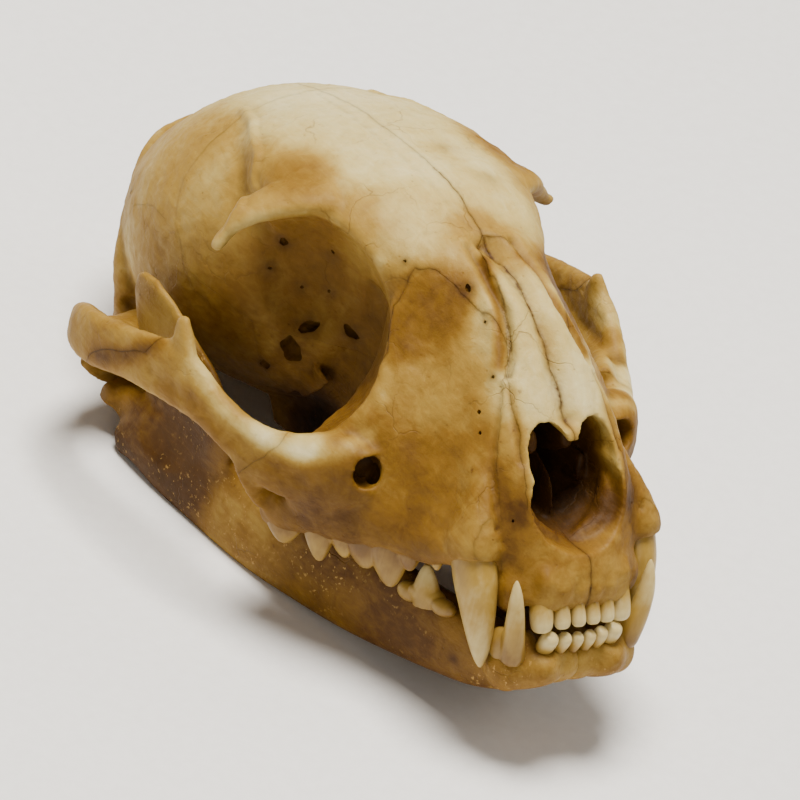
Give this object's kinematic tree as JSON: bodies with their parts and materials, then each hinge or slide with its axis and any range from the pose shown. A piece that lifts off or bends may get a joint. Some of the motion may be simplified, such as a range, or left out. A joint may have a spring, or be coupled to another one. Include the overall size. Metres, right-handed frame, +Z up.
{
  "type": "caracal skull",
  "caption": "Life-size cat skull with its lower jaw closed, parted along its sutures and lying on the jaw's lower border.",
  "frame": {"origin": "centre of the overall box in plan, on the floor under the lower jaw", "axes": "+Y runs back from the incisors to the occiput, +X to the skull's left, +Z up from the floor; the snout faces -Y"},
  "size_m": [0.0916, 0.132, 0.0666],
  "materials": {
    "pale_bone": "dry bone, pale cream, low sheen",
    "warm_bone": "dry bone, warm cream with ivory teeth, low sheen",
    "ochre_bone": "dry bone, yellow ochre, low sheen",
    "dark_bone": "dry bone, brown, matt",
    "jaw_bone": "dry bone, amber brown with ivory teeth, low sheen"
  },
  "bodies": {
    "root": {"nasal_left": "pale_bone", "nasal_right": "pale_bone", "premaxilla_left": "warm_bone", "premaxilla_right": "warm_bone", "maxilla_left": "warm_bone", "maxilla_right": "warm_bone", "zygomatic_left": "ochre_bone", "zygomatic_right": "ochre_bone", "frontal_left": "pale_bone", "frontal_right": "pale_bone", "parietal_left": "pale_bone", "parietal_right": "pale_bone", "temporal_left": "ochre_bone", "temporal_right": "ochre_bone", "mandible_left": "jaw_bone", "mandible_right": "jaw_bone", "occipital": "ochre_bone", "cranial_base": "dark_bone"}
  },
  "joints": []
}
